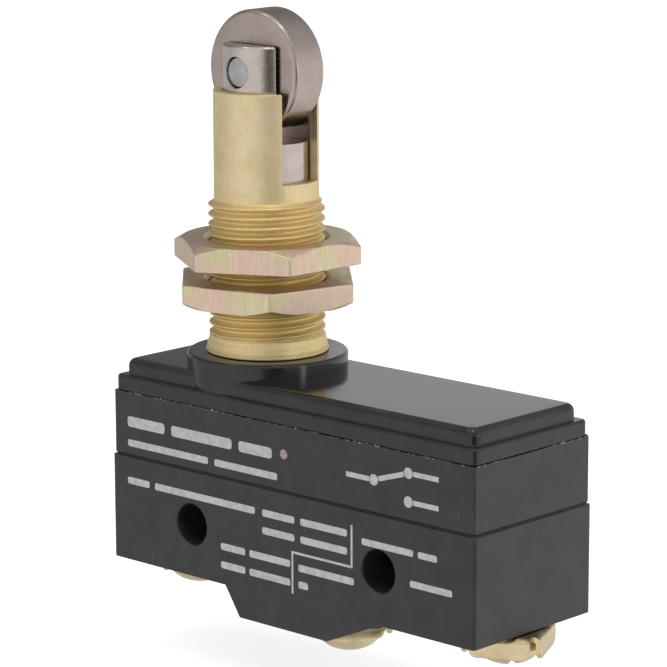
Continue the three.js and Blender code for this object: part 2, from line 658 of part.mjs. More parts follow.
// A domed head with a driver slot and its shank, drawn from the terminal plate downwards.
function screwSolid() {
  const bottom = -HEAD_TOP - HEAD_SIDE;
  const outline = [[0, SHANK_END], [SCREW_SHANK_RADIUS - SHANK_CHAMFER, SHANK_END]];
  outline.push([SCREW_SHANK_RADIUS, SHANK_END - SHANK_CHAMFER]);
  outline.push([SCREW_SHANK_RADIUS, -HEAD_TOP], [HEAD_RADIUS, -HEAD_TOP], [HEAD_RADIUS, bottom]);
  const steps = 4;
  for (let i = 1; i < steps; i++) {
    const angle = (Math.PI / 2) * (i / steps);
    outline.push([HEAD_RADIUS * Math.cos(angle), bottom - HEAD_DOME * Math.sin(angle)]);
  }
  const tip = bottom - HEAD_DOME;
  outline.push([0, tip]);
  const half = DRIVER_SLOT.width / 2;
  const reach = HEAD_RADIUS + 1;
  const slot = box(-reach, reach, -half, half, tip - 1, tip + DRIVER_SLOT.depth);
  return cut(turned(outline.reverse(), { segments: 24 }), slot);
}

for (const [key, t] of Object.entries(TERMINALS)) {
  const seat = new THREE.Group();
  seat.position.set(t.screwX, MID_Y, t.z);
  part.add(seat);
  const washer = washerSolid().rotate([0, 0, t.washerTurn]).translate([0, 0, -FIT]);
  place("terminal_washer_" + key, washer, FINISH.brass(), seat);
  place("terminal_screw_" + key, screwSolid().rotate([0, 0, t.slotTurn]), FINISH.brass(), seat);
}

export default part;
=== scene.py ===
"""The looks of a roller-plunger limit switch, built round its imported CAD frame."""
import json
import math

import bmesh
import bpy
import numpy as np
from mathutils import Matrix, Vector


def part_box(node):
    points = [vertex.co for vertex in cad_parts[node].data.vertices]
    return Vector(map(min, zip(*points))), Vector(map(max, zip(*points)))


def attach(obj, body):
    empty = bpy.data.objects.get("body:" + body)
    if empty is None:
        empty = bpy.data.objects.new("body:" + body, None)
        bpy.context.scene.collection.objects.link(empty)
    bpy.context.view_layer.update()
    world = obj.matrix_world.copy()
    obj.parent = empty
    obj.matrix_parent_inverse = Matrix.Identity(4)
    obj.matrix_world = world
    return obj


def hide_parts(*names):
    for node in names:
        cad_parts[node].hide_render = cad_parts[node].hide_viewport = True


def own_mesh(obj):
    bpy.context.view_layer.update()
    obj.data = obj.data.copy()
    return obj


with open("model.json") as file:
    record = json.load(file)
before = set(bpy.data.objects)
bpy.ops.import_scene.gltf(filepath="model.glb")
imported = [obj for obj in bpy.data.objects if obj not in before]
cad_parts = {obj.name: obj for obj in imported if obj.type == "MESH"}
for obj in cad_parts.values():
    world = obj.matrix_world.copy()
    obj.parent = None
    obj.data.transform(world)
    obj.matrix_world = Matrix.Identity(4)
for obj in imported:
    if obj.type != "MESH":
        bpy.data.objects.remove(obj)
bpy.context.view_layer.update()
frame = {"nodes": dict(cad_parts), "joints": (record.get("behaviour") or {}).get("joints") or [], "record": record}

# ---------------------------------------------------------------- places, from the frame
# Shapes are drawn in millimetres from the case's lower left front corner, and build() turns
# them into metres in the frame's own place.
MM = 0.001
LOWER_BOSS = {"x0": 16.2, "x1": 37.0, "foot0": 18.2, "foot1": 30.1, "depth": 3.0}
CASE_LOW, CASE_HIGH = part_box("case")
CORNER = CASE_LOW + Vector((0, 0, LOWER_BOSS["depth"] * MM))


def span(node):
    """A CAD node's lowest and highest corners, in millimetres from the case's corner."""
    low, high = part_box(node)
    return (low - CORNER) / MM, (high - CORNER) / MM


def middle(node):
    low, high = span(node)
    return (low + high) / 2


def metres(x, y, z):
    """A point given in millimetres, in the frame's metres."""
    return CORNER + Vector((x, y, z)) * MM


LENGTH, WIDTH = (CASE_HIGH.x - CASE_LOW.x) / MM, (CASE_HIGH.y - CASE_LOW.y) / MM
MID_Y = WIDTH / 2
AXIS_X = middle("bushing").x
PARTING_Z = span("case")[1].z
STEP_Z = 10.9
STEP_INSET = 0.2
CORNER_RADIUS = 0.5
WALL = 1.6
CAVITY_FLOOR_Z = 8.5
HOLE_RADIUS = 2.1
HOLE_X = (11.5, 36.9)
HOLE_Z = 5.4
FIT = 0.05

RIM_INSET = 0.3
RIM_TOP_Z = 19.3
PLATEAU_INSET = 0.95
PLATEAU_TOP_Z = 20.9
BOSS_RADIUS = 8.15
BOSS_TOP_Z = span("cover")[1].z
LIP_BASE_Z = span("cover")[0].z
HUB_RADIUS = 6.95

FLANGE_RADIUS = 6.4
FLANGE_TOP_Z = 19.55
NECK_RADIUS = 5.6
BUSHING_BASE_Z = span("bushing")[0].z
TUBE_TOP_Z = span("bushing")[1].z
SHOULDER_RADIUS = 6.1
THREAD_START_Z = 24.3
THREAD_END_Z = 38.3
THREAD_CREST = 5.88
THREAD_ROOT = 5.3
TUBE_RADIUS = 5.27
BORE_RADIUS = 4.38
SEAT_Z = 27.0
SEAT_BASE_Z = 25.4
SLOT_HALF = 2.5
SLOT_Z = 39.9

PLUNGER_RADIUS = (span("plunger")[1].x - span("plunger")[0].x) / 2
PLUNGER_TOP_Z = span("plunger")[1].z
STEM_BASE_Z = span("plunger")[0].z
STEM_RADIUS = 2.5
STEM_TOP_Z = 37.45
FORK_HALF = 2.3
FORK_FLOOR_Z = 43.85
ROLLER = middle("roller")
ROLLER_RADIUS = (span("roller")[1].z - span("roller")[0].z) / 2
ROLLER_HALF = (span("roller")[1].y - span("roller")[0].y) / 2
PIN_RADIUS = 1.5
PIN_HALF = (span("roller_pin")[1].y - span("roller_pin")[0].y) / 2

TERMINALS = ("com", "no", "nc")
WASHER_TURN = {"com": 48, "no": 52, "nc": 26}           # degrees
WASHER_DROP = {"com": 1.9, "no": 1.6, "nc": 2.25}       # how far the lips hang
SLOT_TURN = {"com": 20, "no": 65, "nc": -35}            # degrees


# ---------------------------------------------------------------- mesh helpers
TOUCHING = 1e-7      # metres: points nearer than this are one point
POLE_RADIUS = 0.02   # a turned piece's profile stops this far from its axis


def build(name, verts, faces):
    """A mesh object from millimetres, with its faces turned outwards."""
    mesh = bpy.data.meshes.new(name)
    points = np.asarray(verts, float) * MM + np.array(CORNER)
    mesh.from_pydata([tuple(p) for p in points], [], faces)
    work = bmesh.new()
    work.from_mesh(mesh)
    bmesh.ops.recalc_face_normals(work, faces=work.faces)
    work.to_mesh(mesh)
    work.free()
    obj = bpy.data.objects.new(name, mesh)
    bpy.context.scene.collection.objects.link(obj)
    return obj


def loft(name, rings, closed=False):
    """A skin over loops of equal count. The ends are capped, or joined when it is closed."""
    rings = np.asarray(rings, float)
    count, size = rings.shape[:2]
    faces = []
    for i in range(count if closed else count - 1):
        a, b = i * size, ((i + 1) % count) * size
        for j in range(size):
            k = (j + 1) % size
            faces.append((a + j, a + k, b + k, b + j))
    if not closed:
        faces.append(tuple(reversed(range(size))))
        faces.append(tuple(range((count - 1) * size, count * size)))
    return build(name, rings.reshape(-1, 3), faces)


def rounded(points, steps=5, closed=False):
    """A profile with rounded corners, from (u, v) or (u, v, radius) points."""
    made = []
    count = len(points)
    for i, point in enumerate(points):
        p = np.array(point[:2], float)
        radius = point[2] if len(point) > 2 else 0
        if not radius or (not closed and i in (0, count - 1)):
            made.append(tuple(p))
            continue
        before = np.array(points[i - 1][:2], float) - p
        after = np.array(points[(i + 1) % count][:2], float) - p
        lengths = np.linalg.norm(before), np.linalg.norm(after)
        before, after = before / lengths[0], after / lengths[1]
        half = math.acos(max(-1, min(1, float(before @ after)))) / 2
        reach = min(radius / math.tan(half), 0.49 * min(lengths))
        radius = reach * math.tan(half)
        centre = p + (before + after) / np.linalg.norm(before + after) * radius / math.sin(half)
        start, end = p + before * reach - centre, p + after * reach - centre
        sweep = math.pi - 2 * half
        for k in range(steps + 1):
            a = k / steps
            arm = (math.sin((1 - a) * sweep) * start + math.sin(a * sweep) * end) / math.sin(sweep)
            made.append(tuple(centre + arm))
    return made


def circle(radius, z, segments, x=AXIS_X, y=MID_Y):
    """A level loop. The radius may be a list with one value for each segment."""
    a = np.arange(segments) * 2 * math.pi / segments
    return np.stack([x + radius * np.cos(a), y + radius * np.sin(a), np.full(segments, z)], 1)


def turned(name, profile, segments=96, closed=False, x=AXIS_X, y=MID_Y):
    """A turned piece on a vertical axis, from (radius, z) points."""
    return loft(name, [circle(max(r, POLE_RADIUS), z, segments, x, y) for r, z in profile], closed)


def turned_y(name, profile, x, y, z, segments=96, closed=False):
    """A turned piece on an axis along Y, from (radius, y) points."""
    rings = np.array([circle(max(r, POLE_RADIUS), h, segments, 0, 0) for r, h in profile])
    rings = np.stack([rings[..., 0] + x, rings[..., 2] + y, z - rings[..., 1]], -1)
    return loft(name, rings, closed)


def block(x0, x1, y0, y1, z0, z1, name="tool"):
    """A plain box, as a tool to cut with, or as the floor."""
    ring = lambda z: [(x0, y0, z), (x1, y0, z), (x1, y1, z), (x0, y1, z)]
    return loft(name, [ring(z0), ring(z1)])


def plan_ring(inset, radius, z, steps=7):
    """A rounded rectangle in plan, set in from the case's outline."""
    near, far = inset + radius, WIDTH - inset - radius
    left, right = inset + radius, LENGTH - inset - radius
    points = []
    for x, y, start in ((right, near, -90), (right, far, 0), (left, far, 90), (left, near, 180)):
        for i in range(steps + 1):
            a = math.radians(start + 90 * i / steps)
            points.append((x + radius * math.cos(a), y + radius * math.sin(a), z))
    return points


def settle(obj):
    """Applies the object's modifiers to its mesh."""
    depsgraph = bpy.context.evaluated_depsgraph_get()
    made = bpy.data.meshes.new_from_object(obj.evaluated_get(depsgraph))
    obj.modifiers.clear()
    old = obj.data
    obj.data = made
    made.name = obj.name
    bpy.data.meshes.remove(old)


def combine(obj, operation, *tools):
    """Joins or cuts the object with other solids, which are used up."""
    for tool in tools:
        modifier = obj.modifiers.new("boolean", "BOOLEAN")
        modifier.operation = operation
        modifier.solver = "EXACT"
        modifier.object = tool
        settle(obj)
        bpy.data.objects.remove(tool)


def cut(obj, *tools):
    combine(obj, "DIFFERENCE", *tools)


def join(obj, *others):
    combine(obj, "UNION", *others)


def soften(obj, width, where, angle=35, segments=3):
    """Rounds the edges that turn by more than an angle, where a test of their middle allows."""
    work = bmesh.new()
    work.from_mesh(obj.data)
    bmesh.ops.remove_doubles(work, verts=work.verts, dist=TOUCHING)
    bmesh.ops.dissolve_degenerate(work, dist=TOUCHING, edges=work.edges)
    weight = work.edges.layers.float.get("bevel_weight_edge")
    weight = weight or work.edges.layers.float.new("bevel_weight_edge")
    for edge in work.edges:
        centre = (edge.verts[0].co + edge.verts[1].co) / 2
        sharp = edge.is_manifold and edge.calc_face_angle(0) > math.radians(angle)
        edge[weight] = 1.0 if sharp and where((centre - CORNER) / MM) else 0.0
    work.to_mesh(obj.data)
    work.free()
    bevel = obj.modifiers.new("bevel", "BEVEL")
    bevel.width = width * MM
    bevel.segments = segments
    bevel.limit_method = "WEIGHT"
    bevel.use_clamp_overlap = True
    settle(obj)


def shade(obj, angle=32):
    """Smooth shading, except over sharp edges, with the flat faces kept flat."""
    obj.data.shade_smooth()
    obj.data.set_sharp_from_angle(angle=math.radians(angle))
    even = obj.modifiers.new("even", "WEIGHTED_NORMAL")
    even.keep_sharp = True
    even.weight = 80
    settle(obj)


def moved(obj, matrix):
    """The object's mesh carried by a matrix that is given in millimetres from the case's corner."""
    to_mm = Matrix.Scale(1 / MM, 4) @ Matrix.Translation(-CORNER)
    obj.data.transform(to_mm.inverted() @ matrix @ to_mm)
    return obj


def ease(value, low, high):
    """0 below low, 1 above high, and a smooth step between them."""
    t = np.clip((value - low) / (high - low), 0, 1)
    return t * t * (3 - 2 * t)


def smaller(a, b, blend):
    """The smaller of two lengths, rounded where they cross."""
    h = np.clip(0.5 + 0.5 * (b - a) / blend, 0, 1)
    return b * (1 - h) + a * h - blend * h * (1 - h)


# ---------------------------------------------------------------- material helpers
class Finish:
    """A material on one Principled shader, with short calls for its texture nodes."""

    def __init__(self, name):
        self.material = bpy.data.materials.new(name)
        self.material.use_nodes = True
        self.nodes = self.material.node_tree.nodes
        self.links = self.material.node_tree.links
        self.shader = self.nodes["Principled BSDF"]
        self.place = self.nodes.new("ShaderNodeTexCoord").outputs["Object"]
        self.normal = None

    def put(self, target, value):
        if isinstance(value, bpy.types.NodeSocket):
            self.links.new(value, target)
        elif value is not None:
            target.default_value = value

    def fix(self, **values):
        """Sets the shader's own sockets, named with _ for spaces."""
        for name, value in values.items():
            self.put(self.shader.inputs[name.replace("_", " ")], value)

    def vector(self, operation, a, b):
        node = self.nodes.new("ShaderNodeVectorMath")
        node.operation = operation
        self.put(node.inputs[0], a)
        self.put(node.inputs[1], b)
        return node.outputs["Value" if operation in ("LENGTH", "DOT_PRODUCT") else "Vector"]

    def math(self, operation, a, b=None):
        node = self.nodes.new("ShaderNodeMath")
        node.operation = operation
        self.put(node.inputs[0], a)
        self.put(node.inputs[1], b)
        return node.outputs[0]

    def stretched(self, x, y, z):
        """Coordinates in cells per millimetre along each axis."""
        return self.vector("MULTIPLY", self.place, (x / MM, y / MM, z / MM))

    def noise(self, where, detail=3, roughness=0.6, distortion=0.0):
        node = self.nodes.new("ShaderNodeTexNoise")
        self.put(node.inputs["Vector"], where)
        node.inputs["Scale"].default_value = 1
        node.inputs["Detail"].default_value = detail
        node.inputs["Roughness"].default_value = roughness
        node.inputs["Distortion"].default_value = distortion
        return node.outputs[0]

    def cells(self, where):
        node = self.nodes.new("ShaderNodeTexVoronoi")
        self.put(node.inputs["Vector"], where)
        node.inputs["Scale"].default_value = 1
        return node.outputs["Distance"]

    def spread(self, value, low, high, to_low=0.0, to_high=1.0):
        node = self.nodes.new("ShaderNodeMapRange")
        node.interpolation_type = "SMOOTHSTEP"
        for socket, given in zip(node.inputs, (value, low, high, to_low, to_high)):
            self.put(socket, given)
        return node.outputs[0]

    def mix(self, factor, a, b):
        node = self.nodes.new("ShaderNodeMix")
        node.data_type = "RGBA"
        self.put(node.inputs[0], factor)
        self.put(node.inputs[6], a)
        self.put(node.inputs[7], b)
        return node.outputs[2]

    def mottle(self, cloud, a, b):
        """Two colours that run into each other in soft patches."""
        return self.mix(self.spread(cloud, 0.3, 0.7), a, b)

    def bump(self, height, depth, strength):
        """Adds relief, its depth in millimetres."""
        node = self.nodes.new("ShaderNodeBump")
        node.inputs["Strength"].default_value = strength
        node.inputs["Distance"].default_value = depth * MM
        self.put(node.inputs["Height"], height)
        if self.normal:
            self.links.new(self.normal, node.inputs["Normal"])
        self.normal = node.outputs[0]
        self.links.new(self.normal, self.shader.inputs["Normal"])


def colour(red, green, blue):
    return (red, green, blue, 1)


def grey(value, tint=(1, 1, 1)):
    return (value * tint[0], value * tint[1], value * tint[2], 1)


def moulded_case():
    f = Finish("case_phenolic")
    cloud = f.noise(f.stretched(0.35, 0.35, 0.35), 4, 0.55)
    grain = f.noise(f.stretched(11, 11, 11), 2, 0.5)
    streak = f.noise(f.stretched(0.4, 0.4, 6), 2, 0.5, 0.4)
    scratch = f.spread(f.noise(f.stretched(9, 9, 0.7), 1, 0.4, 1.2), 0.70, 0.76)
    tone = f.mottle(cloud, grey(0.016), grey(0.027, (1, 0.99, 0.98)))
    tone = f.mix(f.math("MULTIPLY", scratch, 0.35), tone, grey(0.13))
    f.fix(Base_Color=tone, IOR=1.52)
    rough = f.spread(cloud, 0.25, 0.75, 0.33, 0.44)
    f.fix(Roughness=f.math("ADD", rough, f.spread(streak, 0.4, 0.7, -0.03, 0.03)))
    f.bump(grain, 0.006, 0.7)
    f.bump(streak, 0.004, 0.5)
    return f.material


def polished_cover():
    f = Finish("cover_phenolic")
    cloud = f.noise(f.stretched(0.3, 0.3, 0.3), 3, 0.5)
    peel = f.noise(f.stretched(0.8, 0.8, 0.8), 2, 0.5)
    dust = f.spread(f.cells(f.stretched(2.2, 2.2, 2.2)), 0.035, 0.06, 1, 0)
    tone = f.mottle(cloud, grey(0.008, (1, 0.9, 0.86)), grey(0.014))
    tone = f.mix(f.math("MULTIPLY", dust, 0.4), tone, grey(0.16))
    f.fix(Base_Color=tone, IOR=1.55)
    f.fix(Roughness=f.spread(cloud, 0.3, 0.7, 0.08, 0.15))
    f.bump(peel, 0.012, 0.35)
    f.bump(f.noise(f.stretched(14, 14, 14), 1, 0.5), 0.002, 0.4)
    return f.material


def turned_brass():
    f = Finish("bushing_brass")
    rings = f.noise(f.stretched(0.25, 0.25, 16), 3, 0.65)
    upright = f.noise(f.stretched(7, 7, 0.35), 3, 0.6)
    cloud = f.noise(f.stretched(0.5, 0.5, 0.5), 4, 0.6)
    pits = f.spread(f.noise(f.stretched(5, 5, 5), 2, 0.6), 0.68, 0.78)
    tint = f.noise(f.stretched(0.16, 0.16, 0.22), 3, 0.6, 0.8)
    speck = f.noise(f.stretched(2.2, 2.2, 1.6), 3, 0.7)
    tone = f.mottle(cloud, colour(0.78, 0.64, 0.36), colour(0.84, 0.73, 0.47))
    tone = f.mix(f.spread(tint, 0.48, 0.62, 0, 0.55), tone, colour(0.88, 0.70, 0.48))
    tone = f.mix(f.spread(tint, 0.48, 0.36, 0, 0.6), tone, colour(0.76, 0.70, 0.37))
    height = f.vector("DOT_PRODUCT", f.vector("SUBTRACT", f.place, CORNER), (0, 0, 1 / MM))
    # painted bounce light: below the thread's top the brass is mixed towards a deeper, more saturated gold,
    # standing for the colour light gains between the thread's flanks
    threaded = f.spread(height, THREAD_END_Z + 1.2, THREAD_END_Z - 0.6, 0, 0.65)
    tone = f.mix(threaded, tone, colour(0.87, 0.68, 0.33))
    tone = f.mix(f.spread(speck, 0.35, 0.65, 0, 0.16), tone, colour(0.58, 0.45, 0.22))
    tone = f.mix(f.math("MULTIPLY", pits, 0.25), tone, colour(0.36, 0.27, 0.15))
    f.fix(Base_Color=tone, Metallic=1.0)
    f.fix(Roughness=f.spread(upright, 0.3, 0.7, 0.44, 0.54))
    f.bump(rings, 0.003, 0.4)
    f.bump(upright, 0.0018, 0.4)
    f.bump(cloud, 0.02, 0.2)
    return f.material


def passivated_zinc():
    f = Finish("nut_zinc")
    striae = f.noise(f.stretched(4.5, 4.5, 0.4), 3, 0.65)
    cloud = f.noise(f.stretched(0.30, 0.30, 0.4), 2, 0.45, 0.3)
    patch = f.noise(f.stretched(0.9, 0.9, 0.9), 3, 0.6)
    pink, green = colour(0.76, 0.57, 0.45), colour(0.70, 0.64, 0.39)
    tone = f.mix(f.spread(cloud, 0.46, 0.60), pink, green)
    tone = f.mix(f.spread(striae, 0.42, 0.62, 0, 0.3), tone, colour(0.50, 0.39, 0.28))
    tone = f.mix(f.spread(patch, 0.55, 0.75, 0, 0.35), tone, colour(0.78, 0.70, 0.60))
    f.fix(Base_Color=tone, Metallic=1.0)
    f.fix(Roughness=f.spread(patch, 0.3, 0.7, 0.32, 0.44))
    f.bump(striae, 0.014, 0.6)
    f.bump(patch, 0.01, 0.25)
    return f.material


def plated_plunger():
    f = Finish("plunger_nickel")
    fine = f.noise(f.stretched(4, 4, 4), 3, 0.7)
    rings = f.noise(f.stretched(0.4, 0.4, 12), 3, 0.6)
    cloud = f.noise(f.stretched(0.6, 0.6, 0.6), 3, 0.6)
    tone = f.mottle(cloud, colour(0.54, 0.465, 0.42), colour(0.60, 0.535, 0.495))
    tone = f.mix(f.spread(fine, 0.58, 0.72, 0, 0.4), tone, colour(0.12, 0.10, 0.09))
    f.fix(Base_Color=tone, Metallic=1.0)
    f.fix(Roughness=f.spread(fine, 0.3, 0.7, 0.13, 0.24))
    f.bump(fine, 0.016, 0.7)
    f.bump(rings, 0.003, 0.4)
    return f.material


def brushed_roller():
    f = Finish("roller_nickel")
    centre = metres(*ROLLER)
    offset = f.vector("SUBTRACT", f.place, centre)
    flat = f.vector("MULTIPLY", offset, (1 / MM, 0, 1 / MM))
    radius = f.vector("LENGTH", flat, None)
    rings = f.nodes.new("ShaderNodeCombineXYZ")
    f.put(rings.inputs[0], f.math("MULTIPLY", radius, 9.0))
    across = f.vector("DOT_PRODUCT", offset, (0, 9 / MM, 0))
    f.put(rings.inputs[1], across)
    turned_lines = f.noise(rings.outputs[0], 3, 0.6)
    fine = f.noise(f.stretched(7, 7, 7), 3, 0.7)
    cloud = f.noise(f.stretched(0.4, 0.4, 0.4), 3, 0.6)
    tone = f.mottle(cloud, colour(0.42, 0.345, 0.305), colour(0.48, 0.41, 0.37))
    tone = f.mix(f.spread(fine, 0.62, 0.76, 0, 0.35), tone, colour(0.15, 0.13, 0.12))
    f.fix(Base_Color=tone, Metallic=1.0)
    f.fix(Roughness=f.spread(fine, 0.3, 0.7, 0.22, 0.32))
    f.bump(turned_lines, 0.0010, 0.4)
    f.bump(fine, 0.0005, 0.4)
    return f.material


def plain_steel(name, dark, light, rough):
    f = Finish(name)
    fine = f.noise(f.stretched(7, 7, 7), 3, 0.7)
    cloud = f.noise(f.stretched(0.7, 0.7, 0.7), 3, 0.6)
    tone = f.mottle(cloud, dark, light)
    tone = f.mix(f.spread(fine, 0.55, 0.75, 0, 0.4), tone, grey(0.12))
    f.fix(Base_Color=tone, Metallic=1.0)
    f.fix(Roughness=f.spread(fine, 0.3, 0.7, rough - 0.06, rough + 0.08))
    f.bump(fine, 0.008, 0.5)
    return f.material


def stamped(name, dark, light, rough, lines=(0.5, 0.5, 9)):
    """Sheet or wire metal with rolling lines, and a little tarnish."""
    f = Finish(name)
    rolled = f.noise(f.stretched(*lines), 3, 0.6)
    cloud = f.noise(f.stretched(0.5, 0.5, 0.5), 4, 0.6)
    tone = f.mottle(cloud, dark, light)
    f.fix(Base_Color=tone, Metallic=1.0)
    f.fix(Roughness=f.spread(cloud, 0.3, 0.7, rough - 0.06, rough + 0.08))
    f.bump(rolled, 0.004, 0.5)
    return f.material


def pressed_insulator():
    f = Finish("insulator")
    fleck = f.noise(f.stretched(3, 3, 3), 4, 0.7)
    cloud = f.noise(f.stretched(0.6, 0.6, 0.6), 3, 0.6)
    tone = f.mottle(cloud, colour(0.16, 0.065, 0.035), colour(0.24, 0.11, 0.06))
    tone = f.mix(f.spread(fleck, 0.6, 0.75, 0, 0.5), tone, colour(0.35, 0.2, 0.12))
    f.fix(Base_Color=tone)
    f.fix(Roughness=f.spread(fleck, 0.3, 0.7, 0.45, 0.6))
    f.bump(fleck, 0.01, 0.4)
    return f.material


def print_ink():
    f = Finish("print_ink")
    cloud = f.noise(f.stretched(1.4, 1.4, 1.4), 3, 0.6)
    worn = f.noise(f.stretched(7, 7, 7), 2, 0.6)
    tone = f.mottle(cloud, grey(0.47), grey(0.60))
    tone = f.mix(f.spread(worn, 0.60, 0.78, 0, 0.5), tone, grey(0.20))
    f.fix(Base_Color=tone)
    f.fix(Roughness=f.spread(worn, 0.3, 0.7, 0.5, 0.65))
    f.bump(worn, 0.003, 0.5)
    return f.material


def red_ink():
    f = Finish("dot_ink")
    worn = f.noise(f.stretched(6, 6, 6), 3, 0.6)
    tone = f.mix(f.spread(worn, 0.35, 0.65), colour(0.27, 0.21, 0.22), colour(0.45, 0.38, 0.40))
    f.fix(Base_Color=tone)
    f.fix(Roughness=f.spread(worn, 0.3, 0.7, 0.5, 0.65))
    f.bump(worn, 0.004, 0.5)
    return f.material


def flash_plastic():
    f = Finish("flash")
    chips = f.noise(f.stretched(2.5, 2.5, 2.5), 3, 0.7)
    tone = f.mix(f.spread(chips, 0.5, 0.68), grey(0.012), grey(0.34))
    f.fix(Base_Color=tone)
    f.fix(Roughness=f.spread(chips, 0.3, 0.7, 0.35, 0.6))
    f.bump(chips, 0.02, 0.5)
    return f.material


MATERIALS = {
    "case_phenolic": moulded_case(),
    "cover_phenolic": polished_cover(),
    "insulator": pressed_insulator(),
    "bushing_brass": turned_brass(),
    "nut_zinc": passivated_zinc(),
    "plunger_nickel": plated_plunger(),
    "roller_nickel": brushed_roller(),
    "pin_steel": plain_steel("pin_steel", grey(0.42), grey(0.54), 0.34),
    "spring_steel": stamped("spring_steel", grey(0.30), grey(0.42), 0.3, (6, 6, 6)),
    "terminal_brass": stamped(
        "terminal_brass", colour(0.62, 0.47, 0.24), colour(0.72, 0.58, 0.34), 0.34),
    "blade_copper": stamped(
        "blade_copper", colour(0.62, 0.33, 0.17), colour(0.72, 0.44, 0.26), 0.3, (0.4, 9, 9)),
    "contact_silver": stamped("contact_silver", grey(0.66), grey(0.8), 0.25, (8, 8, 1)),
    "screw_brass": stamped(
        "screw_brass", colour(0.66, 0.52, 0.30), colour(0.78, 0.66, 0.42), 0.22, (3, 3, 3)),
}


def dress(obj, body, slot, *replaced, material=None):
    """Gives a finished piece its material and its body, and hides the CAD nodes that it stands for."""
    obj.data.materials.clear()
    obj.data.materials.append(material or MATERIALS[slot])
    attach(obj, body)
    if replaced:
        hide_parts(*replaced)


# ---------------------------------------------------------------- case and cover
PLATE_Y0 = 4.0
PLATE_THICKNESS = 1.2
# each terminal plate's x0, x1 and y1, and the x0, x1, y0 and y1 of the post that stands on it
PLATES = {"com": (0.8, 8.4, 13.4), "no": (20.8, 29.6, 13.4), "nc": (40.8, 48.25, 14.4)}
POSTS = {"com": (7.0, 8.2, 6.7, 10.7), "no": (28.2, 29.4, 6.9, 10.5), "nc": (41.0, 42.2, 12.6, 14.4)}
SCREW_SHANK = 1.9
WELL_RADIUS = SCREW_SHANK + 0.35
WELL_DEPTH = 6.0
EDGE = 0.12          # the rounding of the case's moulded edges
LEAST_CORNER = 0.3   # the smallest radius of a ring's corners in plan


def plate_z(key):
    """The height of a terminal plate's underside."""
    return span("terminal_washer_" + key)[1].z + FIT


def make_case():
    groove = STEP_INSET + 0.10
    groove_low, groove_high = STEP_Z + 0.14, STEP_Z + 0.26
    inner = 1.5                  # the inset at which the flat underside closes
    outside = rounded([
        (inner, 0), (0, 0, EDGE), (0, STEP_Z, 0.10), (groove, STEP_Z, 0.03),
        (groove, groove_low, 0.04), (STEP_INSET, groove_high, 0.04),
        (STEP_INSET, PARTING_Z, 0.08), (WALL, PARTING_Z, 0.05), (WALL, CAVITY_FLOOR_Z),
    ])
    rings = [plan_ring(inset, max(CORNER_RADIUS - inset, LEAST_CORNER), z) for inset, z in outside]
    case = loft("case_shell", rings)
    b = LOWER_BOSS
    buried = 1.5                 # how far the lower boss reaches up into the case
    outline = [(b["x0"], buried), (b["x0"], 0), (b["foot0"], -b["depth"]), (b["foot1"], -b["depth"]),
               (b["x1"], 0), (b["x1"], buried)]
    boss = loft("tool", [[(x, y, z) for x, z in outline] for y in (0, WIDTH)])
    soften(boss, EDGE, lambda p: p.z < buried - 0.1)
    join(case, boss)
    mouth = 0.14
    bore = rounded([
        (0, -1), (HOLE_RADIUS + mouth, -1), (HOLE_RADIUS + mouth, 0), (HOLE_RADIUS, mouth, 0.1),
        (HOLE_RADIUS, WIDTH - mouth, 0.1), (HOLE_RADIUS + mouth, WIDTH),
        (HOLE_RADIUS + mouth, WIDTH + 1), (0, WIDTH + 1),
    ], 3)
    for x in HOLE_X:
        cut(case, turned_y("tool", bore, x, 0, HOLE_Z, 64))
    for key in TERMINALS:
        z = plate_z(key)
        x0, x1, y0, y1 = POSTS[key]
        plate_x0, plate_x1, plate_y1 = PLATES[key]
        cut(
            case,
            block(plate_x0 - FIT, plate_x1 + FIT, PLATE_Y0 - FIT, plate_y1 + FIT,
                  z - 1, z + PLATE_THICKNESS + FIT),
            block(x0 - FIT, x1 + FIT, y0 - FIT, y1 + FIT, z, CAVITY_FLOOR_Z + 1),
            turned("tool", [(0, z), (WELL_RADIUS, z), (WELL_RADIUS, z + WELL_DEPTH),
                            (0, z + WELL_DEPTH)], 40, x=middle("terminal_screw_" + key).x),
        )
    shade(case)
    dress(case, "root", "case_phenolic", "case")


RIM_CORNER = 0.75
PLATEAU_CORNER = 1.2


